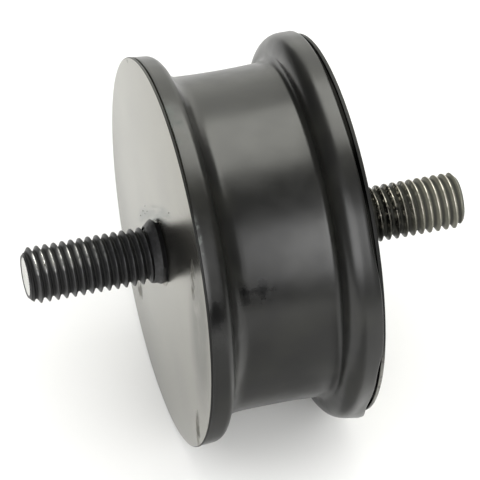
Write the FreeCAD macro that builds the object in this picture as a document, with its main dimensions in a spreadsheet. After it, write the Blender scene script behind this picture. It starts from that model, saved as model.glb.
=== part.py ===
import FreeCAD, Part
import os
import Sketcher

# Bonded rubber radiator mount: a rubber body moulded round two steel plates, each with a stud.
# The stud axis is X. The front end points to -X, +Z is up, and the origin is the middle of the body.
# All sizes are in millimetres.

SIZES = {
    "body_length": 30.4,         # over the outer faces of the two plates
    "waist_radius": 29.5,        # rubber waist where it meets the flanges
    "waist_dip": 0.3,            # how far the waist is drawn in halfway along
    "plate_radius": 34.0,        # front plate
    "back_plate_step": 0.8,      # how much smaller the back plate's radius is
    "plate_thickness": 2.5,
    "plate_edge_break": 0.15,    # broken edge of a plate's outer face
    "front_plate_land": 0.3,     # straight edge between the outer face and the bevel
    "back_plate_land": 1.6,
    "front_rim_setback": 0.2,    # the front rim lies this far inside the plate's edge
    "front_rim_reach": 4.2,      # from the plate's outer face to the top of the rim's inner wall
    "front_rim_draft": 1.0,      # how far that wall leans inwards down to the waist
    "front_rim_round": 1.6,
    "front_root_round": 3.4,     # hollow between the front rim and the waist
    "back_skin": 0.7,            # rubber round the edge of the back plate
    "back_plate_proud": 1.1,     # bare edge of the back plate outside the bead
    "bead_width": 5.4,
    "bead_shoulder_round": 3.2,
    "bead_root_round": 1.1,      # hollow between the waist and the bead
    "bead_lip_chamfer": 0.3,
    "thread_diameter": 10.0,
    "stud_length": 23.5,         # from the plate's outer face to the tip
    "stud_tip_chamfer": 1.0,
    "weld_seat": 0.9,            # countersink round the stud in the plate, filled flush by the weld
    "flare_height": 0.7,         # weld flare at the root, outside the plate
    "flare_length": 1.1,
    "head_radius": 10.0,         # flat stud head behind the plate, inside the rubber
    "head_thickness": 2.5,
}

MATCH = 0.001                    # two places closer than this are the same place

FRONT_FACE = "(-sizes.body_length / 2)"
BACK_FACE = "(sizes.body_length / 2)"
SHANK_RADIUS = "sizes.thread_diameter / 2"
PLATE_RADIUS = {
    "front": "sizes.plate_radius",
    "back": "(sizes.plate_radius - sizes.back_plate_step)",
}

doc = FreeCAD.newDocument("radiator_mount")
sheet = doc.addObject("Spreadsheet::Sheet", "sizes")
for row, (alias, size) in enumerate(SIZES.items(), start=1):
    sheet.set(f"A{row}", alias.replace("_", " "))
    sheet.set(f"B{row}", str(size))
    sheet.setAlias(f"B{row}", alias)
doc.recompute()


def value_of(expression):
    """Number that an expression on the sheet gives."""
    return float(sheet.evalExpression(expression))


def new_body(label):
    body = doc.addObject("PartDesign::Body", label)
    body.Label = label
    return body


def new_sketch(body, name, plane_role):
    """Sketch on one of the body's own origin planes."""
    sketch = body.newObject("Sketcher::SketchObject", name)
    plane = next(item for item in body.Origin.OriginFeatures if item.Role == plane_role)
    sketch.AttachmentSupport = [(plane, "")]
    sketch.MapMode = "FlatFace"
    return sketch


def bind(sketch, constraint, expression):
    index = sketch.addConstraint(constraint)
    sketch.setExpression(f"Constraints[{index}]", expression)


def end_at(sketch, index, point):
    """Which end of a sketch line or arc, 1 or 2, lies at the point."""
    return 1 if sketch.getPoint(index, 1).isEqual(point, MATCH) else 2


def section_sketch(body, name, corners, hollow=None):
    """Half section above the X axis. Each corner is a pair of expressions, x and radius.

    hollow is (index, expression): the side after that corner sags by that much towards the axis.
    """
    sketch = new_sketch(body, name, "XZ_Plane")
    points = [FreeCAD.Vector(value_of(x), value_of(radius), 0) for x, radius in corners]
    sides = list(zip(points, points[1:] + points[:1]))
    for index, (start, end) in enumerate(sides):
        side = Part.LineSegment(start, end)
        if hollow and index == hollow[0]:
            middle = (start + end) / 2 - FreeCAD.Vector(0, value_of(hollow[1]), 0)
            side = Part.Arc(start, middle, end)
        sketch.addGeometry(side, False)
    for index, (x, radius) in enumerate(corners):
        point = points[index]
        first = end_at(sketch, index, point)
        before = index - 1 if index else len(corners) - 1
        last = end_at(sketch, before, point)
        sketch.addConstraint(Sketcher.Constraint("Coincident", before, last, index, first))
        bind(sketch, Sketcher.Constraint("DistanceX", -1, 1, index, first, point.x), x)
        if radius == "0":
            sketch.addConstraint(Sketcher.Constraint("PointOnObject", index, first, -1))
        else:
            bind(sketch, Sketcher.Constraint("DistanceY", -1, 1, index, first, point.y), radius)
    if hollow:
        index, sag = hollow
        chord = f"(({corners[index + 1][0]}) - ({corners[index][0]}))"
        bend = f"({chord} * {chord} / 4 + {sag} * {sag}) / (2 * {sag})"
        bind(sketch, Sketcher.Constraint("Radius", index, value_of(bend)), bend)
    return sketch


def revolve(body, name, sketch):
    turned = body.newObject("PartDesign::Revolution", name)
    turned.Profile = sketch
    turned.ReferenceAxis = (sketch, ["H_Axis"])
    turned.Angle = 360
    doc.recompute()
    return turned


def ring_edges(feature, x, radius):
    """Names of the feature's circular edges round the X axis at one x and radius."""
    names = []
    for index, edge in enumerate(feature.Shape.Edges, start=1):
        ring = edge.Curve
        if not isinstance(ring, Part.Circle) or abs(ring.Axis.x) < 1 - MATCH:
            continue
        if abs(ring.Center.x - value_of(x)) < MATCH and abs(ring.Radius - value_of(radius)) < MATCH:
            names.append(f"Edge{index}")
    return names


def dress_ring(body, kind, name, corner, size):
    """Round or bevel the circular edge at one corner of the section."""
    base = body.Tip
    dressed = body.newObject(f"PartDesign::{kind}", name)
    dressed.Base = (base, ring_edges(base, *corner))
    dressed.setExpression("Radius" if kind == "Fillet" else "Size", size)
    doc.recompute()


def place_outward(body, side):
    """Put a piece whose local origin is the centre of its plate's outer face, +X outward, at one end."""
    turn = FreeCAD.Rotation(FreeCAD.Vector(0, 0, 1), 180 if side == "front" else 0)
    body.Placement = FreeCAD.Placement(FreeCAD.Vector(0, 0, 0), turn)
    body.setExpression("Placement.Base.x", FRONT_FACE if side == "front" else BACK_FACE)


def make_plate(side):
    """Steel disc, pierced and countersunk for the stud's weld, its inner edge bevelled for the rubber."""
    plate = new_body(f"{side}_plate")
    radius = PLATE_RADIUS[side]
    blank = new_sketch(plate, f"{side}_plate_blank", "YZ_Plane")
    centre = FreeCAD.Vector(0, 0, 0)
    for index, size in enumerate((radius, SHANK_RADIUS)):
        circle = Part.Circle(centre, FreeCAD.Vector(0, 0, 1), value_of(size))
        blank.addGeometry(circle, False)
        blank.addConstraint(Sketcher.Constraint("Coincident", index, 3, -1, 1))
        bind(blank, Sketcher.Constraint("Radius", index, value_of(size)), size)
    disc = plate.newObject("PartDesign::Pad", f"{side}_plate_disc")
    disc.Profile = blank
    disc.Reversed = True
    disc.setExpression("Length", "sizes.plate_thickness")
    doc.recompute()
    bevel = f"sizes.plate_thickness - sizes.{side}_plate_land"
    dress_ring(plate, "Chamfer", f"{side}_plate_bevel", ("-sizes.plate_thickness", radius), bevel)
    dress_ring(plate, "Chamfer", f"{side}_plate_edge", ("0", radius), "sizes.plate_edge_break")
    dress_ring(plate, "Chamfer", f"{side}_weld_seat", ("0", SHANK_RADIUS), "sizes.weld_seat")
    place_outward(plate, side)
    return plate


def make_stud(side):
    """Headed stud pushed through its plate from inside and welded at the root."""
    stud = new_body(f"{side}_stud")
    head_back = "(-sizes.plate_thickness - sizes.head_thickness)"
    corners = [
        (head_back, "0"),
        (head_back, "sizes.head_radius"),
        ("-sizes.plate_thickness", "sizes.head_radius"),
        ("-sizes.plate_thickness", SHANK_RADIUS),
        ("-sizes.weld_seat", SHANK_RADIUS),
        ("0", f"{SHANK_RADIUS} + sizes.weld_seat"),
        ("0", f"{SHANK_RADIUS} + sizes.flare_height"),
        ("sizes.flare_length", SHANK_RADIUS),
        ("sizes.stud_length - sizes.stud_tip_chamfer", SHANK_RADIUS),
        ("sizes.stud_length", f"{SHANK_RADIUS} - sizes.stud_tip_chamfer"),
        ("sizes.stud_length", "0"),
    ]
    section = section_sketch(stud, f"{side}_stud_section", corners)
    revolve(stud, f"{side}_stud_turned", section)
    place_outward(stud, side)
    return stud


def make_rubber(inserts):
    """Rubber spool with a narrow front rim and a fat rounded bead at the back, moulded round the inserts."""
    rim_radius = f"({PLATE_RADIUS['front']} - sizes.front_rim_setback)"
    bead_radius = f"({PLATE_RADIUS['back']} + sizes.back_skin)"
    rim_start = f"{FRONT_FACE} + sizes.front_plate_land"
    rim_wall = f"{FRONT_FACE} + sizes.front_rim_reach"
    rim_foot = f"{rim_wall} + sizes.front_rim_draft"
    bead_end = f"{BACK_FACE} - sizes.back_plate_proud"
    bead_wall = f"{bead_end} - sizes.bead_width"
    corners = [
        (rim_start, "0"),
        (rim_start, rim_radius),
        (rim_wall, rim_radius),
        (rim_foot, "sizes.waist_radius"),
        (bead_wall, "sizes.waist_radius"),
        (bead_wall, bead_radius),
        (bead_end, bead_radius),
        (bead_end, "0"),
    ]
    moulding = new_body("rubber_moulding")
    section = section_sketch(moulding, "rubber_section", corners, hollow=(3, "sizes.waist_dip"))
    revolve(moulding, "rubber_turned", section)
    rim_height = f"abs({rim_radius} - sizes.waist_radius)"
    bead_height = f"abs({bead_radius} - sizes.waist_radius)"
    rounds = [
        ("front_rim_round", corners[2], 0.45, rim_height),
        ("front_root_round", corners[3], 0.8, rim_height),
        ("bead_shoulder_round", corners[5], 0.73, bead_height),
        ("bead_root_round", corners[4], 0.25, bead_height),
    ]
    for name, corner, share, wall in rounds:
        dress_ring(moulding, "Fillet", name, corner, f"min(sizes.{name}; {share} * {wall})")
    dress_ring(moulding, "Chamfer", "bead_lip", corners[6], "sizes.bead_lip_chamfer")
    core = doc.addObject("Part::MultiFuse", "inserts")
    core.Shapes = inserts
    rubber = doc.addObject("Part::Cut", "rubber_body")
    rubber.Label = "rubber_body"
    rubber.Base = moulding
    rubber.Tool = core
    doc.recompute()
    return rubber


inserts = []
for side in ("front", "back"):
    inserts.append(make_plate(side))
    inserts.append(make_stud(side))
pieces = [make_rubber(inserts)] + inserts
doc.recompute()

for item in doc.Objects:
    if "Invalid" in item.State or "Error" in item.State:
        raise RuntimeError(f"{item.Name} failed: {item.State}")
os.makedirs("parts", exist_ok=True)
for piece in pieces:
    if piece.Shape.isNull() or not piece.Shape.isValid():
        raise RuntimeError(f"{piece.Label} has no valid shape")
for piece in pieces:
    piece.Shape.exportStep(f"parts/{piece.Label}.step")
    print(piece.Label, f"{piece.Shape.Volume:.1f} mm3")
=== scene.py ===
from math import atan2, ceil, cos, degrees, hypot, pi, radians, sin, tan

import bmesh
import bpy
from mathutils import Matrix, Vector, noise


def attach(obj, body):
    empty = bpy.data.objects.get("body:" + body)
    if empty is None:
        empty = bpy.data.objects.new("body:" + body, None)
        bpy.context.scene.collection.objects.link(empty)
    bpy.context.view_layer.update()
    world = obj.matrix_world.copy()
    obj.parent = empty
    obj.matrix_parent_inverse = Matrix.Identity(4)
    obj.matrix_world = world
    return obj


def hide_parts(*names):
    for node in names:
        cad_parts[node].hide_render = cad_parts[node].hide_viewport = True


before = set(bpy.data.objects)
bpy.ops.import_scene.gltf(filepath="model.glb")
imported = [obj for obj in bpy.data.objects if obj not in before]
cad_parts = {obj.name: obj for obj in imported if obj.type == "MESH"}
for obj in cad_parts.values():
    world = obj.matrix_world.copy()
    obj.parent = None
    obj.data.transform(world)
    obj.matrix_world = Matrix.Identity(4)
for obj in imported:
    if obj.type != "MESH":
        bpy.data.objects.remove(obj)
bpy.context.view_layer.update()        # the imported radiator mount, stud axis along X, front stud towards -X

mm = 0.001
allRound = 2 * pi
sides = ("front", "back")
mergeGap = 0.002 * mm
onPlane = 1e-7           # metres; vertices this near a cutting plane count as on it
scene = bpy.context.scene


def srgb(code):          # "#rrggbb" to the linear colour that a shader socket takes
    parts = [int(code[i:i + 2], 16) / 255 for i in (1, 3, 5)]
    return [c / 12.92 if c <= 0.04045 else ((c + 0.055) / 1.055) ** 2.4 for c in parts] + [1.0]


def smoothStep(t):
    t = min(max(t, 0.0), 1.0)
    return t * t * (3 - 2 * t)


def swell(angle, at, spread):        # 1 at one angle, down to 0 a spread away on both sides
    return smoothStep(1 - abs(angle - at) / spread)


def addNode(tree, kind, inputs=None, out=None, **settings):      # out names the socket to hand back
    node = tree.nodes.new(kind)
    for name, value in settings.items():
        setattr(node, name, value)
    for key, value in (inputs or {}).items():
        if isinstance(value, bpy.types.NodeSocket):
            tree.links.new(value, node.inputs[key])
        else:
            node.inputs[key].default_value = value
    return node if out is None else node.outputs[out]


def newMaterial(name):
    material = bpy.data.materials.new(name)
    material.use_nodes = True
    material.node_tree.nodes.clear()
    return material, material.node_tree


def topAngle(co):        # degrees round the stud axis, 0 at the near side (-Y), 90 on top, 180 far side
    return degrees(atan2(co.z, -co.y))


def radiusOf(co):
    return hypot(co.y, co.z)


def setRadius(co, radius):
    now = radiusOf(co)
    if now > 1e-9:       # a point on the axis has no direction to move in
        co.y *= radius / now
        co.z *= radius / now


def sectionOf(corners, closed):      # half section above the X axis, corners as (x, radius) in mm
    bm = bmesh.new()
    verts = [bm.verts.new((x * mm, 0, radius * mm)) for x, radius in corners]
    ends = verts[1:] + verts[:1] if closed else verts[1:]
    for start, end in zip(verts, ends):
        bm.edges.new((start, end))
    return bm


def roundCorner(bm, corner, radius, segments):
    place = Vector((corner[0] * mm, 0, corner[1] * mm))
    vert = min(bm.verts, key=lambda v: (v.co - place).length)
    one, other = [edge.other_vert(vert).co - vert.co for edge in vert.link_edges]
    reach = radius * mm / tan(one.angle(other) / 2)      # from the corner to where the round begins
    bmesh.ops.bevel(bm, geom=[vert], offset=reach, offset_type="OFFSET", affect="VERTICES",
                    segments=segments, profile=0.5, material=-1)


def cutSide(bm, start, end, cuts):   # more points along one side of a section
    places = [Vector((x * mm, 0, radius * mm)) for x, radius in (start, end)]
    verts = [min(bm.verts, key=lambda v: (v.co - place).length) for place in places]
    bmesh.ops.subdivide_edges(bm, edges=[bm.edges.get(verts)], cuts=cuts)


def turn(bm, steps):     # the section once round the stud axis
    bmesh.ops.spin(bm, geom=bm.verts[:] + bm.edges[:], cent=(0, 0, 0), axis=(1, 0, 0), dvec=(0, 0, 0),
                   angle=allRound, steps=steps, use_merge=True, use_duplicate=False)
    bmesh.ops.remove_doubles(bm, verts=bm.verts[:], dist=mergeGap)


def linkMesh(name, bm, material):
    mesh = bpy.data.meshes.new(name)
    bm.to_mesh(mesh)
    bm.free()
    mesh.materials.append(material)
    linked = bpy.data.objects.new(name, mesh)
    scene.collection.objects.link(linked)
    return linked


def finishPiece(name, bm, material, sharpAngle, node=None):
    bmesh.ops.recalc_face_normals(bm, faces=bm.faces[:])
    for face in bm.faces:
        face.smooth = True
    piece = linkMesh(name, bm, material)
    piece.data.set_sharp_from_angle(angle=radians(sharpAngle))
    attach(piece, "root")
    if node:
        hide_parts(node)
    print(f"{name}: {len(piece.data.polygons)} faces")


def objectPlace(tree):   # object coordinates in mm
    place = addNode(tree, "ShaderNodeTexCoord", out="Object")
    return addNode(tree, "ShaderNodeVectorMath", {0: place, "Scale": 1 / mm}, out=0, operation="SCALE")


def axisDistance(tree, place):       # out from the stud axis, mm
    across = addNode(tree, "ShaderNodeVectorMath", {0: place, 1: (0, 1, 1)}, out=0, operation="MULTIPLY")
    return addNode(tree, "ShaderNodeVectorMath", {0: across}, out="Value", operation="LENGTH")


def mottle(tree, place, size, low, high, detail=3.0):    # soft noise patches about size mm across, 0 to 1
    wave = addNode(tree, "ShaderNodeTexNoise", {"Vector": place, "Scale": 1 / size, "Detail": detail},
                   out="Fac")
    return addNode(tree, "ShaderNodeMapRange", {"Value": wave, "From Min": low, "From Max": high},
                   out="Result", interpolation_type="SMOOTHSTEP")


def ragged(tree, place, centre, reach, grain):   # a mark of broken edge, whole within 0.45 of its reach
    offset = addNode(tree, "ShaderNodeVectorMath", {0: place, 1: centre}, out=0, operation="SUBTRACT")
    share = addNode(tree, "ShaderNodeVectorMath", {0: offset, 1: reach}, out=0, operation="DIVIDE")
    far = addNode(tree, "ShaderNodeVectorMath", {0: share}, out="Value", operation="LENGTH")
    inside = addNode(tree, "ShaderNodeMapRange", {"Value": far, "From Min": 1.0, "From Max": 0.45},
                     out="Result")
    broken = mottle(tree, place, *grain)
    return addNode(tree, "ShaderNodeMath", {0: inside, 1: broken}, out=0, operation="MULTIPLY")


# In every look below a grain is the size of its patches in mm and the noise values where they begin and are
# whole, and a mark is its centre, its reach along x, y and z, both in mm, and its grain.
# A Mix node takes the share at socket 0, colours at 6 and 7 and plain numbers at 2 and 3.
rubberLook = {
    "black": "#121211", "bloom": "#1b1b18", "bloomGrain": (9, 0.42, 0.75),
    "dry": "#3e423f", "dryRoughness": 0.6, "oily": "#0a0a0a", "oilyRoughness": 0.2,
    "roughness": (0.28, 0.34), "sheenGrain": (4, 0.3, 0.7),
    "peelSize": 0.6, "peelStrength": 0.25, "peelDepth": 0.02,
    "drySmear": ((-13.9, -6.5, 33.0), (1.8, 6.5, 5.0), (2.4, 0.36, 0.66)),
    "lipFlecks": ((-14.7, -24.6, 23.0), (0.7, 4.0, 5.0), (0.9, 0.52, 0.6)),
    "waistWipe": ((-5.8, -27.2, 11.6), (4.6, 3.0, 3.4), (2.4, 0.32, 0.58)),
    "rimWipe": ((-13.4, -32.0, 11.4), (1.8, 4.0, 6.0), (3.0, 0.3, 0.56)),
}


def mouldedRubber(s):
    # black natural rubber, compression moulded: deep black with a soft satin sheen off the polished mould,
    # a faint bloom that greys it in patches, a dry smear and pale flecks at the front rim, and oily wipes
    material, tree = newMaterial("mouldedRubber")
    place = objectPlace(tree)
    bloom = mottle(tree, place, *s["bloomGrain"], detail=5.0)
    colour = addNode(tree, "ShaderNodeMix", {0: bloom, 6: srgb(s["black"]), 7: srgb(s["bloom"])}, out=2,
                     data_type="RGBA")
    smear = ragged(tree, place, *s["drySmear"])
    flecks = ragged(tree, place, *s["lipFlecks"])
    dry = addNode(tree, "ShaderNodeMath", {0: smear, 1: flecks}, out=0, operation="MAXIMUM")
    colour = addNode(tree, "ShaderNodeMix", {0: dry, 6: colour, 7: srgb(s["dry"])}, out=2, data_type="RGBA")
    waistWipe = ragged(tree, place, *s["waistWipe"])
    rimWipe = ragged(tree, place, *s["rimWipe"])
    oily = addNode(tree, "ShaderNodeMath", {0: waistWipe, 1: rimWipe}, out=0, operation="MAXIMUM")
    colour = addNode(tree, "ShaderNodeMix", {0: oily, 6: colour, 7: srgb(s["oily"])}, out=2,
                     data_type="RGBA")
    sheen = mottle(tree, place, *s["sheenGrain"])
    finest, coarsest = s["roughness"]
    roughness = addNode(tree, "ShaderNodeMapRange", {"Value": sheen, "To Min": finest, "To Max": coarsest},
                        out="Result")
    roughness = addNode(tree, "ShaderNodeMix", {0: dry, 2: roughness, 3: s["dryRoughness"]}, out=0,
                        data_type="FLOAT")
    roughness = addNode(tree, "ShaderNodeMix", {0: oily, 2: roughness, 3: s["oilyRoughness"]}, out=0,
                        data_type="FLOAT")
    peel = addNode(tree, "ShaderNodeTexNoise", {"Vector": place, "Scale": 1 / s["peelSize"], "Detail": 2.0},
                   out="Fac")
    bump = addNode(tree, "ShaderNodeBump", {"Height": peel, "Strength": s["peelStrength"],
                                            "Distance": s["peelDepth"] * mm}, out="Normal")
    shader = addNode(tree, "ShaderNodeBsdfPrincipled", {"Base Color": colour, "IOR": 1.5,
                                                        "Roughness": roughness, "Normal": bump}, out="BSDF")
    addNode(tree, "ShaderNodeOutputMaterial", {"Surface": shader})
    return material


zincLook = {
    "pale": "#8f8d85", "shade": "#898780", "cloudGrain": (14, 0.35, 0.65),
    "filmAndShade": "#605f58", "edgeFilm": ((-15.2, -27.0, 5.0), (1.5, 8.0, 19.0), (6.0, 0.2, 0.5)),
    "fluxCentre": (-15.2, 3.5, 5.1), "fluxReach": (4.0, 16.3, 2.3), "fluxTurn": -39.3,
    "fluxFrom": 1.05, "fluxFull": 0.75,          # from here to the specks, sizes are shares of the patch
    "blotch": "#6a6d67", "blotchGrain": (0.45, 0.26, 0.58),
    "speckSpacing": 0.34, "speckFrom": 0.22, "speckFull": 0.12,
    "dirt": "#57554c", "dirtMarks": {
        "edge": ((-15.2, -22.6, 12.6), (1.0, 1.6, 5.0), (1.8, 0.36, 0.6)),
        "foot": ((-15.2, 15.5, -21.0), (1.0, 2.5, 3.5), (1.8, 0.36, 0.6)),
        "smudge": ((-15.2, -25.0, -18.8), (1.0, 1.8, 4.5), (1.8, 0.36, 0.6)),
        "dot": ((-15.2, 20.6, 26.1), (1.0, 0.9, 0.5), (1.8, 0.36, 0.6)),
    },
    # the gap colour is painted shade for the gap between each plate and the rubber
    "gapShade": "#0c0c0b", "primer": "#121211", "borderWidth": 0.08,
    "gapShadeFrom": {"front": 33.84, "back": 32.5},   # radius beyond which painted shade, and then primer, covers the plate
    "primerFrom": {"front": 33.84, "back": 33.05},
    "thinPrimer": {          # thin along the top in front, rubbed clean low on the near side at the back
        "front": ((-15.0, 16.0, 30.0), (1.5, 24.0, 14.0), (1.6, 0.25, 0.45)),
        "back": ((14.8, -31.0, -11.0), (1.2, 7.0, 12.0), (1.6, 0.25, 0.45)),
    },
    "showsThrough": {"front": "#4e4e4b", "back": "#6f6e69"},
    "primerMetallic": 0.5, "dullRoughness": 0.5, "roughness": (0.235, 0.245),
    "rollingTurn": 28.648, "rollingStretch": 0.1, "rollingGrain": (1.2, 0.3, 0.7),
}


def satinZinc(side, s):
    # cold rolled steel, zinc plated: a pale warm grey that mirrors its surroundings softly, with a faint
    # rolling grain, a patch of dried flux with specks by the weld, a film of dirt near the rubber, black
    # bonding primer that has crept over the edge, and painted shade in the gap between the plate and the
    # rubber
    material, tree = newMaterial(f"satinZinc{side.capitalize()}")
    place = objectPlace(tree)
    radius = axisDistance(tree, place)
    cloud = mottle(tree, place, *s["cloudGrain"], detail=4.0)
    colour = addNode(tree, "ShaderNodeMix", {0: cloud, 6: srgb(s["pale"]), 7: srgb(s["shade"])}, out=2,
                     data_type="RGBA")
    filmAndShade = ragged(tree, place, *s["edgeFilm"])
    colour = addNode(tree, "ShaderNodeMix", {0: filmAndShade, 6: colour, 7: srgb(s["filmAndShade"])}, out=2,
                     data_type="RGBA")
    within = addNode(tree, "ShaderNodeMapping", {"Vector": place, "Location": s["fluxCentre"],
                                                 "Scale": s["fluxReach"],
                                                 "Rotation": (radians(s["fluxTurn"]), 0.0, 0.0)},
                     out="Vector", vector_type="TEXTURE")
    far = addNode(tree, "ShaderNodeVectorMath", {0: within}, out="Value", operation="LENGTH")
    patch = addNode(tree, "ShaderNodeMapRange", {"Value": far, "From Min": s["fluxFrom"],
                                                 "From Max": s["fluxFull"]}, out="Result")
    blotch = mottle(tree, within, *s["blotchGrain"])
    blotch = addNode(tree, "ShaderNodeMath", {0: patch, 1: blotch}, out=0, operation="MULTIPLY")
    colour = addNode(tree, "ShaderNodeMix", {0: blotch, 6: colour, 7: srgb(s["blotch"])}, out=2,
                     data_type="RGBA")
    cells = addNode(tree, "ShaderNodeTexVoronoi", {"Vector": within, "Scale": 1 / s["speckSpacing"]},
                    out="Distance")
    specks = addNode(tree, "ShaderNodeMapRange", {"Value": cells, "From Min": s["speckFrom"],
                                                  "From Max": s["speckFull"]}, out="Result")
    dirt = addNode(tree, "ShaderNodeMath", {0: specks, 1: patch}, out=0, operation="MULTIPLY")
    for mark in s["dirtMarks"].values():
        spot = ragged(tree, place, *mark)
        dirt = addNode(tree, "ShaderNodeMath", {0: dirt, 1: spot}, out=0, operation="MAXIMUM")
    colour = addNode(tree, "ShaderNodeMix", {0: dirt, 6: colour, 7: srgb(s["dirt"])}, out=2,
                     data_type="RGBA")
    # painted shade: black in the groove beside the back bead and along the front plate's edge, under the
    # primer
    gapShadeFrom, primerFrom = s["gapShadeFrom"][side], s["primerFrom"][side]
    gapShade = addNode(tree, "ShaderNodeMapRange", {"Value": radius, "From Min": gapShadeFrom,
                                               "From Max": gapShadeFrom + s["borderWidth"]}, out="Result")
    colour = addNode(tree, "ShaderNodeMix", {0: gapShade, 6: colour, 7: srgb(s["gapShade"])}, out=2, data_type="RGBA")
    primer = addNode(tree, "ShaderNodeMapRange", {"Value": radius, "From Min": primerFrom,
                                                  "From Max": primerFrom + s["borderWidth"]}, out="Result")
    colour = addNode(tree, "ShaderNodeMix", {0: primer, 6: colour, 7: srgb(s["primer"])}, out=2,
                     data_type="RGBA")
    thin = ragged(tree, place, *s["thinPrimer"][side])
    thin = addNode(tree, "ShaderNodeMath", {0: thin, 1: primer}, out=0, operation="MULTIPLY")
    colour = addNode(tree, "ShaderNodeMix", {0: thin, 6: colour, 7: srgb(s["showsThrough"][side])}, out=2,
                     data_type="RGBA")
    metallic = addNode(tree, "ShaderNodeMapRange", {"Value": primer, "To Min": 1.0,
                                                    "To Max": s["primerMetallic"]}, out="Result")
    rolled = addNode(tree, "ShaderNodeMapping", {"Vector": place, "Scale": (1.0, s["rollingStretch"], 1.0),
                                                 "Rotation": (radians(s["rollingTurn"]), 0.0, 0.0)},
                     out="Vector")
    grain = mottle(tree, rolled, *s["rollingGrain"])     # drawn coarser than the real one so that it shows
    finest, coarsest = s["roughness"]
    roughness = addNode(tree, "ShaderNodeMapRange", {"Value": grain, "To Min": finest, "To Max": coarsest},
                        out="Result")
    dull = addNode(tree, "ShaderNodeMath", {0: dirt, 1: primer}, out=0, operation="MAXIMUM")
    roughness = addNode(tree, "ShaderNodeMix", {0: dull, 2: roughness, 3: s["dullRoughness"]}, out=0,
                        data_type="FLOAT")
    shader = addNode(tree, "ShaderNodeBsdfPrincipled", {"Base Color": colour, "Metallic": metallic,
                                                        "Roughness": roughness}, out="BSDF")
    addNode(tree, "ShaderNodeOutputMaterial", {"Surface": shader})
    return material


def threadValley(tree, radius, top, floor, inner):
    # 1 low in a stud's thread, 0 on its crests and on its end face, which lies within the inner radius
    valleyShade = addNode(tree, "ShaderNodeMapRange", {"Value": radius, "From Min": top, "From Max": floor},
                     out="Result")
    outward = addNode(tree, "ShaderNodeMath", {0: radius, 1: inner}, out=0, operation="GREATER_THAN")
    return addNode(tree, "ShaderNodeMath", {0: valleyShade, 1: outward}, out=0, operation="MULTIPLY")


phosphateLook = {        # each pair of places in mm is where a tone begins and where it is whole
    "dark": "#1a1a1b", "light": "#29292a", "crystalGrain": (0.5, 0.3, 0.7),
    # the first two pairs mark the upper near side, where the lights fall; it is painted lighter
    "litUpper": (3.0, 4.1), "litNearSide": (0.6, -0.8), "nearTip": (-24.0, -35.0), "beforeTip": (-37.9, -37.5),
    "wornAndLit": "#5c5c5b", "wornUnlit": 0.15,
    "crest": (4.55, 4.85), "crestGrain": (1.4, 0.3, 0.55),
    "sawnFace": (-38.6, -38.7), "sawnDisc": (3.36, 3.24),
    "valleyShade": "#060606", "valleyDepth": (4.42, 4.14, 4.0), "valleyRoughness": 0.7,
    "bare": "#c6c6c2", "metallic": (0.4, 1.0), "roughness": (0.42, 0.26),    # black, then bare
}


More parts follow.
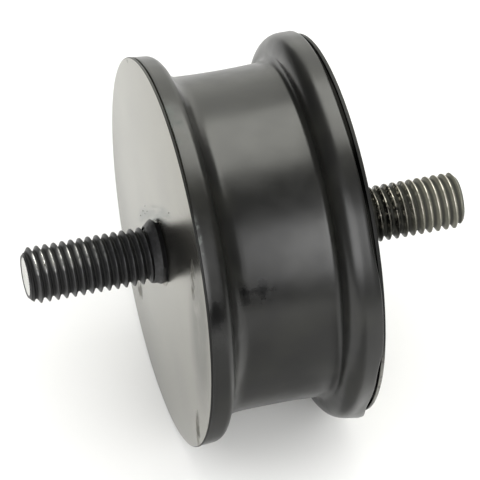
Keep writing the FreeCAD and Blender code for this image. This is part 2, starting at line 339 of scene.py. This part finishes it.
def blackPhosphate(s):
    # steel, rolled thread, black phosphated and oiled: near black with soft oily glints, dull valleys
    # darkened with painted shade, and towards the tip a lighter worn tone and crests rubbed through to pale
    # steel, both painted whole only on the upper near side where the light falls; the sawn end face is bare
    material, tree = newMaterial("blackPhosphate")
    place = objectPlace(tree)
    radius = axisDistance(tree, place)
    along, sideways, height = addNode(tree, "ShaderNodeSeparateXYZ", {0: place}).outputs
    crystals = mottle(tree, place, *s["crystalGrain"])
    colour = addNode(tree, "ShaderNodeMix", {0: crystals, 6: srgb(s["dark"]), 7: srgb(s["light"])}, out=2,
                     data_type="RGBA")
    shares = {}
    for name, value in (("litUpper", height), ("litNearSide", sideways), ("nearTip", along), ("beforeTip", along),
                        ("crest", radius), ("sawnFace", along), ("sawnDisc", radius)):
        begins, whole = s[name]
        shares[name] = addNode(tree, "ShaderNodeMapRange", {"Value": value, "From Min": begins,
                                                            "From Max": whole}, out="Result")
    # the upper near side, where the lights fall: painted light
    litUpper = addNode(tree, "ShaderNodeMath", {0: shares["litUpper"], 1: shares["litNearSide"]}, out=0,
                    operation="MULTIPLY")
    thinned = addNode(tree, "ShaderNodeMath", {0: shares["nearTip"], 1: shares["beforeTip"]}, out=0,
                      operation="MULTIPLY")
    # towards the tip a lighter worn tone, whole only on the lit upper near side: wear and painted light
    wornAndLit = addNode(tree, "ShaderNodeMapRange", {"Value": litUpper, "To Min": s["wornUnlit"], "To Max": 1.0},
                   out="Result")
    wornAndLit = addNode(tree, "ShaderNodeMath", {0: wornAndLit, 1: thinned}, out=0, operation="MULTIPLY")
    colour = addNode(tree, "ShaderNodeMix", {0: wornAndLit, 6: colour, 7: srgb(s["wornAndLit"])}, out=2,
                     data_type="RGBA")
    # crests rubbed to pale steel towards the tip, only on the lit upper near side: rubbing and painted
    # highlight
    rubbedAndLit = thinned
    for share in (shares["crest"], litUpper, mottle(tree, place, *s["crestGrain"])):
        rubbedAndLit = addNode(tree, "ShaderNodeMath", {0: rubbedAndLit, 1: share}, out=0, operation="MULTIPLY")
    sawn = addNode(tree, "ShaderNodeMath", {0: shares["sawnFace"], 1: shares["sawnDisc"]}, out=0,
                   operation="MULTIPLY")
    # painted shade: black low in the thread, where shade falls
    valleyShade = threadValley(tree, radius, *s["valleyDepth"])
    colour = addNode(tree, "ShaderNodeMix", {0: valleyShade, 6: colour, 7: srgb(s["valleyShade"])}, out=2,
                     data_type="RGBA")
    # pale steel on the sawn face and on the rubbed crests painted on the lit side
    bare = addNode(tree, "ShaderNodeMath", {0: rubbedAndLit, 1: sawn}, out=0, operation="MAXIMUM")
    colour = addNode(tree, "ShaderNodeMix", {0: bare, 6: colour, 7: srgb(s["bare"])}, out=2,
                     data_type="RGBA")
    black, shown = s["metallic"]
    metallic = addNode(tree, "ShaderNodeMapRange", {"Value": bare, "To Min": black, "To Max": shown},
                       out="Result")
    black, shown = s["roughness"]
    roughness = addNode(tree, "ShaderNodeMapRange", {"Value": bare, "To Min": black, "To Max": shown},
                        out="Result")
    roughness = addNode(tree, "ShaderNodeMix", {0: valleyShade, 2: roughness, 3: s["valleyRoughness"]}, out=0,
                        data_type="FLOAT")
    shader = addNode(tree, "ShaderNodeBsdfPrincipled", {"Base Color": colour, "Metallic": metallic,
                                                        "Roughness": roughness}, out="BSDF")
    addNode(tree, "ShaderNodeOutputMaterial", {"Surface": shader})
    return material


oldZincLook = {          # pairs of places as above
    "shade": "#6e6e64", "pale": "#7b796e", "cloudGrain": (1.5, 0.3, 0.7),
    "filmAndShade": "#1a1a19", "shadedRoot": (32.0, 26.8), "rootShadeGrain": (1.8, 0.2, 0.5),
    "crest": (4.84, 4.9), "crestGrain": (1.6, 0.3, 0.5), "litUpper": (0.0, 3.6), "crestUnderShade": 0.25,
    "fleckGrain": (0.6, 0.54, 0.62), "pastRoot": (19.5, 23.5),
    "rubbedAndLit": "#b6b2a6", "rubbedRoughness": 0.3,
    "valleyShade": "#30302c", "valleyDepth": (4.45, 4.1, 4.0), "valleyRoughness": 0.7,
    "metallic": (0.5, 0.9), "roughness": (0.55, 0.3),        # clean, then towards the root, where it is painted dark
}


def dulledZinc(s):
    # steel, rolled thread, zinc plate gone dull: olive grey, near black towards the root as painted shade,
    # with a few bright flecks there, its crests rubbed to bright cream lines; flecks and lines show only on
    # the lit upper side, a painted highlight over real rubbing, and the thread's valleys are darkened with
    # painted shade
    material, tree = newMaterial("dulledZinc")
    place = objectPlace(tree)
    radius = axisDistance(tree, place)
    axes = addNode(tree, "ShaderNodeSeparateXYZ", {0: place}).outputs
    along, height = axes["X"], axes["Z"]
    cloud = mottle(tree, place, *s["cloudGrain"])
    colour = addNode(tree, "ShaderNodeMix", {0: cloud, 6: srgb(s["shade"]), 7: srgb(s["pale"])}, out=2,
                     data_type="RGBA")
    shares = {}
    for name, value in (("shadedRoot", along), ("crest", radius), ("litUpper", height), ("pastRoot", along)):
        begins, whole = s[name]
        shares[name] = addNode(tree, "ShaderNodeMapRange", {"Value": value, "From Min": begins,
                                                            "From Max": whole}, out="Result")
    # painted shade: near black in patches towards the root
    patchy = mottle(tree, place, *s["rootShadeGrain"])
    filmAndShade = addNode(tree, "ShaderNodeMath", {0: shares["shadedRoot"], 1: patchy}, out=0, operation="MULTIPLY")
    colour = addNode(tree, "ShaderNodeMix", {0: filmAndShade, 6: colour, 7: srgb(s["filmAndShade"])}, out=2,
                     data_type="RGBA")
    clear = addNode(tree, "ShaderNodeMapRange", {"Value": filmAndShade, "To Min": 1.0,
                                                 "To Max": s["crestUnderShade"]}, out="Result")
    # crests rubbed to cream lines on the lit upper side only: rubbing and painted highlight
    rubbedAndLit = shares["crest"]
    for share in (mottle(tree, place, *s["crestGrain"]), shares["litUpper"], clear):
        rubbedAndLit = addNode(tree, "ShaderNodeMath", {0: rubbedAndLit, 1: share}, out=0, operation="MULTIPLY")
    # bright flecks, on the lit upper side only, within the painted shade towards the root
    flecks = mottle(tree, place, *s["fleckGrain"])
    for share in (filmAndShade, shares["litUpper"], shares["pastRoot"]):
        flecks = addNode(tree, "ShaderNodeMath", {0: flecks, 1: share}, out=0, operation="MULTIPLY")
    rubbedAndLit = addNode(tree, "ShaderNodeMath", {0: rubbedAndLit, 1: flecks}, out=0, operation="MAXIMUM")
    colour = addNode(tree, "ShaderNodeMix", {0: rubbedAndLit, 6: colour, 7: srgb(s["rubbedAndLit"])}, out=2,
                     data_type="RGBA")
    clean, shadedRoot = s["roughness"]
    roughness = addNode(tree, "ShaderNodeMapRange", {"Value": filmAndShade, "To Min": clean, "To Max": shadedRoot},
                        out="Result")
    roughness = addNode(tree, "ShaderNodeMix", {0: rubbedAndLit, 2: roughness, 3: s["rubbedRoughness"]}, out=0,
                        data_type="FLOAT")
    # painted shade: darker low in the thread, where shade falls
    valleyShade = threadValley(tree, radius, *s["valleyDepth"])
    colour = addNode(tree, "ShaderNodeMix", {0: valleyShade, 6: colour, 7: srgb(s["valleyShade"])}, out=2,
                     data_type="RGBA")
    roughness = addNode(tree, "ShaderNodeMix", {0: valleyShade, 2: roughness, 3: s["valleyRoughness"]}, out=0,
                        data_type="FLOAT")
    clean, shadedRoot = s["metallic"]
    metallic = addNode(tree, "ShaderNodeMapRange", {"Value": filmAndShade, "To Min": clean, "To Max": shadedRoot},
                       out="Result")
    shader = addNode(tree, "ShaderNodeBsdfPrincipled", {"Base Color": colour, "Metallic": metallic,
                                                        "Roughness": roughness}, out="BSDF")
    addNode(tree, "ShaderNodeOutputMaterial", {"Surface": shader})
    return material


rubber = mouldedRubber(rubberLook)
zinc = {side: satinZinc(side, zincLook) for side in sides}
studFinish = {"front": blackPhosphate(phosphateLook), "back": dulledZinc(oldZincLook)}
print("materials made")


rubberBody = {           # mm, like the solid it stands for; angles in degrees as topAngle gives them
    "lipX": -14.6, "lipRadius": 33.93, "lipRound": 0.12,
    "rimWallX": -11.0, "rimWallRadius": 33.6, "rimFootX": -10.0, "rimRound": 1.6, "rimFootRound": 3.4,
    "waistRadius": 29.5, "waistDip": 0.3,
    "beadWallX": 8.7, "beadEndX": 13.9, "beadRadius": 33.9, "shoulderRound": 3.2, "beadRootRound": 1.1,
    "beadEndRound": 0.3,
    "frontPlateX": -12.7, "frontInnerRadius": 31.8, "frontLandX": -14.9, "frontRadius": 34.0,
    "backPlateX": 12.7, "backRadius": 33.2, "backBevel": 0.9, "backGroove": 0.5,
    "headRadius": 10.0, "headX": 10.2,
    "steps": 256, "rimCuts": 3, "beadCuts": 3, "waistCuts": 15, "sharpAngle": 50,
    "skinRadius": 33.1,      # only the skin of the rim and the bead lies further out
    # The lip draws back from the front plate near the top and meets its edge lower down.
    "lipFrom": -14.2, "lipGap": 0.12, "lipGapAt": 131, "lipGapSpread": 48,
    "lipFlush": 0.22, "flushFrom": 72, "flushTo": 45, "lipWave": 0.05, "lipWaveSize": 6,
    # The bead's end laps over the back plate on the near side and draws back above that.
    "endFrom": 13.5, "overrun": 0.75, "overrunFrom": 36, "overrunFull": (17, 2), "overrunEnd": -12,
    "endGap": 0.2, "endGapAt": 78, "endGapSpread": 30, "endWave": 0.04, "endWaveSize": 5,
    # Lower down the bead is tucked in, and underneath it flares and laps over the plate again.
    "tuckFrom": 11, "tuckReach": 2.5, "tuck": 0.42, "tuckAt": -28, "tuckSpread": 17,
    "under": 0.5, "underAt": -52, "underSpread": 21, "underFrom": 11.2, "underReach": 2.4,
    "underLap": 1.15, "lapFrom": 11.9, "lapReach": 1.7, "underRound": 0.32, "underRoundFrom": 13.1,
    "nibX": -9.3, "nibAt": 10.4, "nibHeight": 0.7, "nibReach": 1.2,      # a nib of flash at the rim's foot
    "unevenness": 0.02, "unevenFrom": -14, "unevenTo": 13.5, "unevenRadius": 28, "waveSizes": (7, 2.5),
}


def shapeLip(co, s):     # at x 0, then at x 9 in shapeBead, the noise gives each edge a wave of its own
    angle = topAngle(co)
    back = s["lipGap"] * swell(angle, s["lipGapAt"], s["lipGapSpread"])
    back += s["lipWave"] * noise.noise(Vector((0, co.y, co.z)) / (s["lipWaveSize"] * mm))
    flush = s["lipFlush"] * smoothStep((s["flushFrom"] - angle) / (s["flushFrom"] - s["flushTo"]))
    co.x += (back - flush) * mm


def shapeBead(co, s):
    angle, x = topAngle(co), co.x / mm
    swollen = swell(angle, s["underAt"], s["underSpread"])
    drawnIn = swell(angle, s["tuckAt"], s["tuckSpread"]) * smoothStep((x - s["tuckFrom"]) / s["tuckReach"])
    fallen = max(x - s["underRoundFrom"], 0) / (s["beadEndX"] - s["underRoundFrom"])
    flare = s["under"] * smoothStep((x - s["underFrom"]) / s["underReach"]) - s["underRound"] * fallen ** 2
    setRadius(co, radiusOf(co) + (flare * swollen - s["tuck"] * drawnIn) * mm)
    if x > s["endFrom"]:
        fullFrom, fullTo = s["overrunFull"]
        lapped = (smoothStep((s["overrunFrom"] - angle) / (s["overrunFrom"] - fullFrom))
                  * smoothStep((angle - s["overrunEnd"]) / (fullTo - s["overrunEnd"])))
        apart = s["endGap"] * swell(angle, s["endGapAt"], s["endGapSpread"])
        co.x += (s["overrun"] * lapped - apart) * mm
        co.x += s["endWave"] * mm * noise.noise(Vector((9, co.y, co.z)) / (s["endWaveSize"] * mm))
    lap = min(max((co.x / mm - s["lapFrom"]) / s["lapReach"], 0), 1)
    co.x += s["underLap"] * swollen * lap * mm


def makeRubberBody(s):
    bevelRadius = s["frontLandX"] + s["frontRadius"] - s["lipX"]     # the plate's bevel falls 45 degrees
    grooveRadius = s["backRadius"] - s["backGroove"]
    corners = [
        (-s["headX"], 0), (-s["headX"], s["headRadius"]), (s["frontPlateX"], s["headRadius"]),
        (s["frontPlateX"], s["frontInnerRadius"]), (s["lipX"], bevelRadius), (s["lipX"], s["lipRadius"]),
        (s["rimWallX"], s["rimWallRadius"]), (s["rimFootX"], s["waistRadius"]),
        (s["beadWallX"], s["waistRadius"]), (s["beadWallX"], s["beadRadius"]),
        (s["beadEndX"], s["beadRadius"]), (s["beadEndX"], grooveRadius),
        (s["backPlateX"] + s["backBevel"], grooveRadius),
        (s["backPlateX"], s["backRadius"] - s["backBevel"]),
        (s["backPlateX"], s["headRadius"]), (s["headX"], s["headRadius"]), (s["headX"], 0),
    ]
    bm = sectionOf(corners, closed=False)
    for index, radius, segments in ((5, s["lipRound"], 3), (6, s["rimRound"], 10),
                                    (7, s["rimFootRound"], 10), (8, s["beadRootRound"], 8),
                                    (9, s["shoulderRound"], 14), (10, s["beadEndRound"], 4)):
        roundCorner(bm, corners[index], radius, segments)
    cutSide(bm, (s["lipX"] + s["lipRound"], s["lipRadius"]),
            (s["rimWallX"] - s["rimRound"], s["rimWallRadius"]), s["rimCuts"])
    cutSide(bm, (s["beadWallX"] + s["shoulderRound"], s["beadRadius"]),
            (s["beadEndX"] - s["beadEndRound"], s["beadRadius"]), s["beadCuts"])
    cutSide(bm, (s["rimFootX"] + s["rimFootRound"], s["waistRadius"]),
            (s["beadWallX"] - s["beadRootRound"], s["waistRadius"]), s["waistCuts"])
    low, high = s["rimFootX"] * mm, s["beadWallX"] * mm
    for vert in bm.verts:                        # the waist is drawn in a little halfway along
        if low < vert.co.x < high and vert.co.z > s["headRadius"] * mm:
            across = (vert.co.x - low) / (high - low)
            vert.co.z -= s["waistDip"] * mm * 4 * across * (1 - across)
    turn(bm, s["steps"])
    nibRadius, nibAngle = s["waistRadius"] * mm, radians(s["nibAt"])
    nib = Vector((s["nibX"] * mm, -nibRadius * cos(nibAngle), nibRadius * sin(nibAngle)))
    coarse, fine = s["waveSizes"]
    for vert in bm.verts:
        co = vert.co
        if radiusOf(co) > s["skinRadius"] * mm:
            if co.x < s["lipFrom"] * mm:
                shapeLip(co, s)
            if co.x > s["tuckFrom"] * mm:
                shapeBead(co, s)
        near = 1 - (co - nib).length / (s["nibReach"] * mm)
        if near > 0:
            setRadius(co, radiusOf(co) + s["nibHeight"] * near * near * mm)
        if radiusOf(co) > s["unevenRadius"] * mm and s["unevenFrom"] * mm < co.x < s["unevenTo"] * mm:
            wave = noise.noise(co / (coarse * mm)) + 0.5 * noise.noise(co / (fine * mm))
            setRadius(co, radiusOf(co) + s["unevenness"] * mm * (wave - 0.5))
    finishPiece("rubberBody", bm, rubber, s["sharpAngle"], "rubber_body")


makeRubberBody(rubberBody)


plates = {               # x in mm from the outer face, positive outwards
    "thickness": 2.5, "boreRadius": 5.0, "seat": 0.9, "edgeBreak": 0.15, "edgeSegments": 4,
    "steps": 256, "sharpAngle": 30,
    "front": {"radius": 34.0, "land": 0.3, "groove": 0},
    "back": {"radius": 33.2, "land": 1.6, "groove": 0.5},    # the rubber has shrunk from this one's edge
    "stripWidth": 0.6, "grooveSlope": 0.05,
}
faceX = 15.2             # outer faces of the plates, from the middle of the body


def placeOutward(bm, side):          # from outward x to the front or back end of the mount
    turnRound = Matrix.Rotation(pi if side == "front" else 0, 4, "Z")
    shift = Matrix.Translation(((-faceX if side == "front" else faceX) * mm, 0, 0))
    bmesh.ops.transform(bm, matrix=shift @ turnRound, verts=bm.verts[:])


def makePlate(side, s):
    radius, land, groove = s[side]["radius"], s[side]["land"], s[side]["groove"]
    bevel = s["thickness"] - land
    corners = [(0, s["boreRadius"] + s["seat"]), (0, radius), (-land, radius),
               (-s["thickness"], radius - bevel), (-s["thickness"], s["boreRadius"]),
               (-s["seat"], s["boreRadius"])]
    if groove:
        strip = s["stripWidth"]
        corners[2:3] = [(-strip, radius), (-strip - s["grooveSlope"], radius - groove),
                        (-land, radius - groove)]
    bm = sectionOf(corners, closed=True)
    roundCorner(bm, corners[1], s["edgeBreak"], s["edgeSegments"])
    turn(bm, s["steps"])
    placeOutward(bm, side)
    finishPiece(f"{side}Plate", bm, zinc[side], s["sharpAngle"], f"{side}_plate")


for side in sides:
    makePlate(side, plates)


studs = {                # M10 coarse thread, right hand; x in mm from the plate's outer face, outwards
    "pitch": 1.5, "crestRadius": 4.92, "rootRadius": 4.08, "crestHalf": 0.09, "rootHalf": 0.165,
    "crestRound": 0.07, "rootRound": 0.27, "roundSegments": 2, "stepsPerTurn": 72, "sharpAngle": 38,
    "turnsBefore": 3, "turnsAfter": 2,       # spare thread, cut off at the root and at the tip
    "length": {"front": 23.75, "back": 23.4}, "chamfer": {"front": 1.3, "back": 0.95},
    "tipRadius": {"front": 3.7, "back": 3.95}, "tipInset": 0.45, "tipDish": 0.15, "chamferCuts": 6,
    "chamferRise": 0.1,      # how far past the crests the chamfer's cone runs
    "tipSlack": 0.01,        # an open edge within this of the tip belongs to the end face
    "shankRadius": 4.93, "runOutStart": 2.3, "runOutEnd": 1.4, "shankCut": 1.3,
    "headX": -2.5, "headBack": -5.0, "headRadius": 10.0,
    "crestAt": {"front": 1.316, "back": 0.384},              # one crest's place along the top line
}


def makeStud(side, s):
    pitch, half = s["pitch"], s["pitch"] / 2
    tip, chamfer, tipRadius = s["length"][side], s["chamfer"][side], s["tipRadius"][side]
    startX = s["crestAt"][side] - half - s["turnsBefore"] * pitch
    turns = ceil((tip + s["turnsAfter"] * pitch - startX) / pitch)
    flank = half - s["crestHalf"]
    corners = [(startX, s["rootRadius"]), (startX + s["rootHalf"], s["rootRadius"]),
               (startX + flank, s["crestRadius"]), (startX + pitch - flank, s["crestRadius"]),
               (startX + pitch - s["rootHalf"], s["rootRadius"]), (startX + pitch, s["rootRadius"])]
    bm = sectionOf(corners, closed=False)
    for index in (1, 4):
        roundCorner(bm, corners[index], s["rootRound"], s["roundSegments"])
    for index in (2, 3):
        roundCorner(bm, corners[index], s["crestRound"], s["roundSegments"])
    bmesh.ops.spin(bm, geom=bm.verts[:] + bm.edges[:], cent=(0, 0, 0), axis=(1, 0, 0),
                   dvec=(pitch * mm / s["stepsPerTurn"], 0, 0), angle=allRound, steps=s["stepsPerTurn"],
                   use_merge=False, use_duplicate=False)
    firstTurn = bm.verts[:] + bm.edges[:] + bm.faces[:]
    for count in range(1, turns):                # the other turns are copies, each a pitch further on
        copied = bmesh.ops.duplicate(bm, geom=firstTurn)["geom"]
        bmesh.ops.translate(bm, vec=(count * pitch * mm, 0, 0),
                            verts=[part for part in copied if isinstance(part, bmesh.types.BMVert)])
    bmesh.ops.remove_doubles(bm, verts=bm.verts[:], dist=mergeGap)
    cuts = [tip - chamfer * k / s["chamferCuts"] for k in range(1, s["chamferCuts"] + 1)]
    for place in cuts + [s["runOutStart"]]:
        bmesh.ops.bisect_plane(bm, geom=bm.verts[:] + bm.edges[:] + bm.faces[:], dist=onPlane,
                               plane_co=(place * mm, 0, 0), plane_no=(1, 0, 0))
    for place, keepInner in ((tip, True), (s["shankCut"], False)):
        bmesh.ops.bisect_plane(bm, geom=bm.verts[:] + bm.edges[:] + bm.faces[:], dist=onPlane,
                               plane_co=(place * mm, 0, 0), plane_no=(1, 0, 0),
                               clear_outer=keepInner, clear_inner=not keepInner)
    for vert in bm.verts:
        x, radius = vert.co.x / mm, radiusOf(vert.co) / mm
        coneRadius = tipRadius + (tip - x) * (s["crestRadius"] + s["chamferRise"] - tipRadius) / chamfer
        runOut = smoothStep((s["runOutStart"] - x) / (s["runOutStart"] - s["runOutEnd"]))
        floorRadius = s["rootRadius"] + runOut * (s["shankRadius"] - s["rootRadius"])
        setRadius(vert.co, min(max(radius, floorRadius), coneRadius) * mm)
    endX = (tip - s["tipSlack"]) * mm
    rim = [e for e in bm.edges if e.is_boundary and all(v.co.x > endX for v in e.verts)]
    end = bmesh.ops.edgeloop_fill(bm, edges=rim)["faces"]
    bmesh.ops.inset_region(bm, faces=end, thickness=s["tipInset"] * mm, depth=0, use_even_offset=True)
    for vert in {v for face in end for v in face.verts}:         # thread rolling leaves the end dished
        vert.co.x -= s["tipDish"] * mm
    rim = [e for e in bm.edges if e.is_boundary]
    for x, radius in ((s["headX"], s["shankRadius"]), (s["headX"], s["headRadius"]),
                      (s["headBack"], s["headRadius"])):
        made = bmesh.ops.extrude_edge_only(bm, edges=rim)["geom"]
        for vert in (g for g in made if isinstance(g, bmesh.types.BMVert)):
            vert.co.x = x * mm
            setRadius(vert.co, radius * mm)
        rim = [g for g in made if isinstance(g, bmesh.types.BMEdge)]
    bmesh.ops.edgeloop_fill(bm, edges=rim)
    placeOutward(bm, side)
    finishPiece(f"{side}Stud", bm, studFinish[side], s["sharpAngle"], f"{side}_stud")


for side in sides:
    makeStud(side, studs)


weld = {                 # flared weld bead round each stud's root, mm
    "seat": 0.9, "flareHeight": 0.68, "flareLength": 2.1, "peakX": 0.75, "footHeight": 0.25,
    "shankRadius": 5.0, "coreRadius": 4.86, "runOut": 0.05, "steps": 120, "cuts": 6, "sharpAngle": 60,
    "ripple": 0.07, "rippleSize": 0.9, "skin": 0.02,
    "lean": 0.42, "leanReach": 0.9,      # more metal on top than below
}


def makeWeld(side, s):
    corners = [(s["flareLength"], s["coreRadius"]), (s["flareLength"] - s["runOut"], s["shankRadius"]),
               (s["peakX"], s["shankRadius"] + s["flareHeight"]), (0, s["shankRadius"] + s["footHeight"]),
               (-s["seat"], s["shankRadius"]), (-s["seat"], s["coreRadius"])]
    bm = sectionOf(corners, closed=True)
    cutSide(bm, corners[1], corners[2], s["cuts"])
    turn(bm, s["steps"])
    for vert in bm.verts:
        co = vert.co
        if co.x > s["skin"] * mm and radiusOf(co) > (s["coreRadius"] + s["skin"]) * mm:
            wave = noise.noise(co / (s["rippleSize"] * mm))
            lean = s["lean"] * co.z / radiusOf(co)
            lean *= smoothStep((s["flareLength"] - co.x / mm) / s["leanReach"])
            setRadius(co, radiusOf(co) + (s["ripple"] * wave + lean) * mm)
    placeOutward(bm, side)
    finishPiece(f"{side}Weld", bm, studFinish[side], s["sharpAngle"])


for side in sides:
    makeWeld(side, weld)


studio = {
    "floorZ": -34.0 * mm, "floorSize": 8.0, "floorTone": "#e9e9e7", "floorRoughness": 0.9,
    "worldTone": "#404040",
    "cardRadius": 0.30, "cardTop": 0.048, "cardTone": "#202020",     # low black card, only in reflections
    "cardFrom": 235, "cardTo": 415, "cardSteps": 96,     # degrees round Z from +X, open behind and left
    "matTone": "#a2a2a0", "matLift": 0.3 * mm,           # grey card on the floor, only in reflections too
    "matCorners": ((-0.0145, -0.021), (0.010, -0.021), (0.030, -0.15), (-0.0145, -0.15)),
}
softboxes = {            # centre in metres, width and height, brightness against paper white
    "overhead": {"centre": (0.40, 0.36, 0.90), "size": (1.1, 0.88), "radiance": 5.3,
                 "aim": (0.40, 0.36, 0.0), "tint": "#fffff7", "diffuse": False},
    "backWall": {"centre": (1.20, 1.80, 0.85), "size": (2.8, 1.75), "radiance": 1.5,
                 "aim": (1.20, 0.0, 0.85), "tint": "#fffff7"},
    "front": {"centre": (-0.27, -1.26, 0.70), "size": (1.4, 1.05), "radiance": 4.6, "diffuse": False},
    "fillTop": {"centre": (0.0, 0.1, 1.1), "size": (1.6, 1.6), "radiance": 1.5, "aim": (0.0, 0.1, 0.0),
                "glossy": False},
    "fillFront": {"centre": (0.10, -1.30, 0.60), "size": (1.8, 1.1), "radiance": 4.7, "glossy": False},
    "fillLeft": {"centre": (-1.30, 0.0, 0.60), "size": (1.8, 1.1), "radiance": 2.8, "glossy": False},
    "fillRight": {"centre": (1.30, 0.0, 0.60), "size": (1.8, 1.1), "radiance": 2.0, "glossy": False},
}


def makeFloor(s):
    bm = bmesh.new()
    bmesh.ops.create_grid(bm, x_segments=1, y_segments=1, size=s["floorSize"] / 2)
    bmesh.ops.translate(bm, vec=(0, 0, s["floorZ"]), verts=bm.verts[:])
    material, tree = newMaterial("backdropPaper")
    shader = addNode(tree, "ShaderNodeBsdfPrincipled", {"Base Color": srgb(s["floorTone"]),
                                                        "Roughness": s["floorRoughness"]}, out="BSDF")
    addNode(tree, "ShaderNodeOutputMaterial", {"Surface": shader})
    linkMesh("studioFloor", bm, material)


def addCard(name, bm, tone):
    material, tree = newMaterial(f"{name}Felt")
    shader = addNode(tree, "ShaderNodeBsdfDiffuse", {"Color": srgb(tone)}, out="BSDF")
    addNode(tree, "ShaderNodeOutputMaterial", {"Surface": shader})
    card = linkMesh(name, bm, material)
    card.visible_camera = card.visible_diffuse = card.visible_shadow = False


def makeBlackCard(s):
    bm = bmesh.new()
    start = radians(s["cardFrom"])
    foot = bm.verts.new((s["cardRadius"] * cos(start), s["cardRadius"] * sin(start), s["floorZ"]))
    head = bm.verts.new((foot.co.x, foot.co.y, s["cardTop"]))
    edge = bm.edges.new((foot, head))
    bmesh.ops.spin(bm, geom=[foot, head, edge], cent=(0, 0, 0), axis=(0, 0, 1), dvec=(0, 0, 0),
                   angle=radians(s["cardTo"] - s["cardFrom"]), steps=s["cardSteps"], use_merge=False,
                   use_duplicate=False)
    addCard("blackCard", bm, s["cardTone"])


def makeGreyCard(s):
    bm = bmesh.new()
    verts = [bm.verts.new((x, y, s["floorZ"] + s["matLift"])) for x, y in s["matCorners"]]
    bmesh.ops.contextual_create(bm, geom=verts)
    addCard("greyCard", bm, s["matTone"])


def addSoftbox(name, centre, size, radiance, aim=(0.0, 0.0, 0.0), tint="#ffffff", glossy=True,
               diffuse=True):
    light = bpy.data.lights.new(name, "AREA")
    light.color = srgb(tint)[:3]
    light.shape = "RECTANGLE"
    light.size, light.size_y = size
    light.energy = radiance * pi * size[0] * size[1]
    lamp = bpy.data.objects.new(name, light)
    lamp.location = centre
    lamp.rotation_mode = "QUATERNION"
    lamp.rotation_quaternion = (Vector(aim) - Vector(centre)).to_track_quat("-Z", "Y")
    lamp.visible_camera = False
    lamp.visible_glossy = glossy
    lamp.visible_diffuse = diffuse
    scene.collection.objects.link(lamp)


def makeWorld(s):
    world = bpy.data.worlds.new("studioWorld")
    world.use_nodes = True
    world.node_tree.nodes.clear()
    tree = world.node_tree
    sky = addNode(tree, "ShaderNodeBackground", {"Color": srgb(s["worldTone"])}, out="Background")
    addNode(tree, "ShaderNodeOutputWorld", {"Surface": sky})
    scene.world = world


makeFloor(studio)
makeBlackCard(studio)
makeGreyCard(studio)
for name, box in softboxes.items():
    addSoftbox(name, **box)
makeWorld(studio)
scene.view_settings.view_transform = "Standard"
print("studio lit")


shot = {                 # lens, sensor, distance and aim in mm, angles in degrees, clipStart in metres
    "lens": 275.94, "sensor": 36, "clipStart": 0.01,
    "azimuth": -15.45, "elevation": 40.54, "distance": 635.8, "aim": (-0.90, -0.07, -0.36),
}


def addCamera(s):
    side, up = radians(s["azimuth"]), radians(s["elevation"])
    back = Vector((sin(side) * cos(up), -cos(side) * cos(up), sin(up)))
    data = bpy.data.cameras.new("productShot")
    data.lens = s["lens"]
    data.sensor_width = s["sensor"]
    data.clip_start = s["clipStart"]
    camera = bpy.data.objects.new("productShot", data)
    camera.location = (Vector(s["aim"]) + back * s["distance"]) * mm
    camera.rotation_mode = "QUATERNION"
    camera.rotation_quaternion = (-back).to_track_quat("-Z", "Y")
    scene.collection.objects.link(camera)
    scene.camera = camera


addCamera(shot)
print("camera placed")
